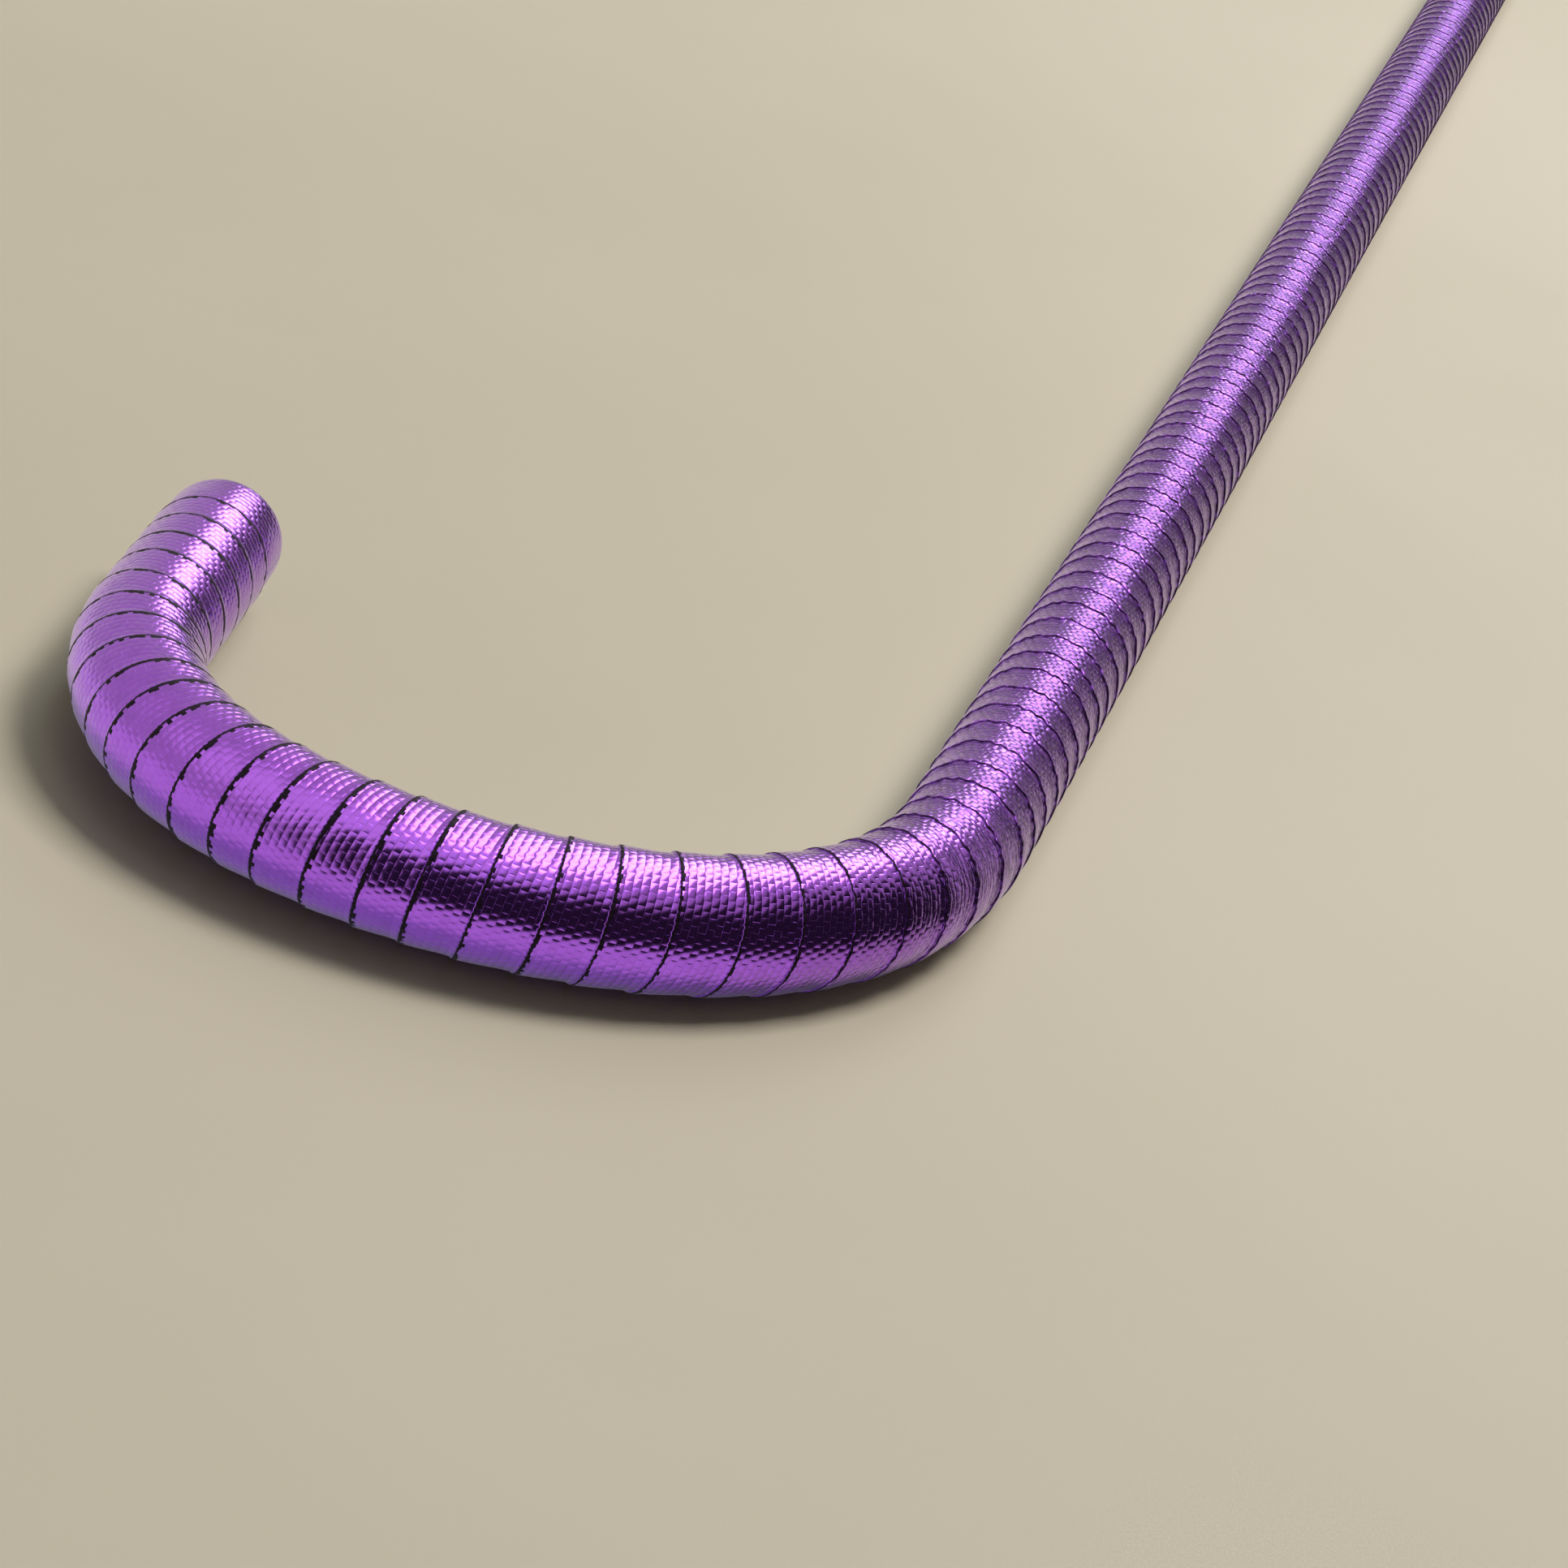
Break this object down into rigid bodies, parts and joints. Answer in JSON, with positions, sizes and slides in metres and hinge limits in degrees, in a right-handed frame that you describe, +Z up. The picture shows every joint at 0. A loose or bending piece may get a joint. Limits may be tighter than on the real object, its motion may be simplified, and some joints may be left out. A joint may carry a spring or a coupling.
{
  "type": "rhythmic ribbon wand",
  "caption": "Crook-ended wand wound with metallic woven ribbon, with a swivelling spring clip at its tip for a streamer.",
  "frame": {"origin": "on the straight shaft's axis, 17 mm along it from where the crook's first bend starts", "axes": "+X along the shaft towards the clip, +Y towards the crook's open side, +Z up from the plane the wand lies on"},
  "size_m": [0.4713, 0.0734, 0.01],
  "materials": {
    "tube": "drawn",
    "tape": "matt adhesive tape",
    "plug": "moulded",
    "ribbon": "metallic woven",
    "ferrule": "polished nickel plate",
    "hardware": "nickel plate",
    "steel": "plain",
    "washer": "natural nylon"
  },
  "bodies": {
    "wand": {"core_tube": "tube", "cushion_tape": "tape", "crook_end_plug": "plug", "ribbon_wrap": "ribbon", "tip_ferrule": "ferrule", "ferrule_rivet": "steel", "thrust_washer": "washer"},
    "tip_eye": {"swivel_eye": "hardware", "swivel_eye_collar": "steel"},
    "ring": {"jump_ring": "hardware"},
    "bow": {"clip_bow": "hardware"},
    "clip": {"clip_body": "hardware", "clip_stem_collar": "steel", "gate_pin": "steel", "gate_spring": "steel"},
    "gate": {"clip_gate": "hardware"}
  },
  "joints": [
    {"name": "tip_eye_spin", "type": "hinge", "parent": "wand", "child": "tip_eye", "pos_m": [0.37048, 0, 0], "axis": [1, 0, 0], "continuous": true},
    {"name": "ring_swing", "type": "hinge", "parent": "tip_eye", "child": "ring", "pos_m": [0.37543, 0, 0], "axis": [0, 1, 0], "range_deg": [-80, 80]},
    {"name": "bow_swing", "type": "hinge", "parent": "ring", "child": "bow", "pos_m": [0.38208, 0, 0], "axis": [0, 0, 1], "range_deg": [-60, 60]},
    {"name": "clip_spin", "type": "hinge", "parent": "bow", "child": "clip", "pos_m": [0.38913, 0, 0], "axis": [1, 0, 0], "continuous": true},
    {"name": "gate_open", "type": "hinge", "parent": "clip", "child": "gate", "pos_m": [0.39643, 0.0034, 0], "axis": [0, 0, -1], "range_deg": [0, 24], "stiffness_Nm_per_rad": 0.002, "springref_deg": -28.65}
  ]
}
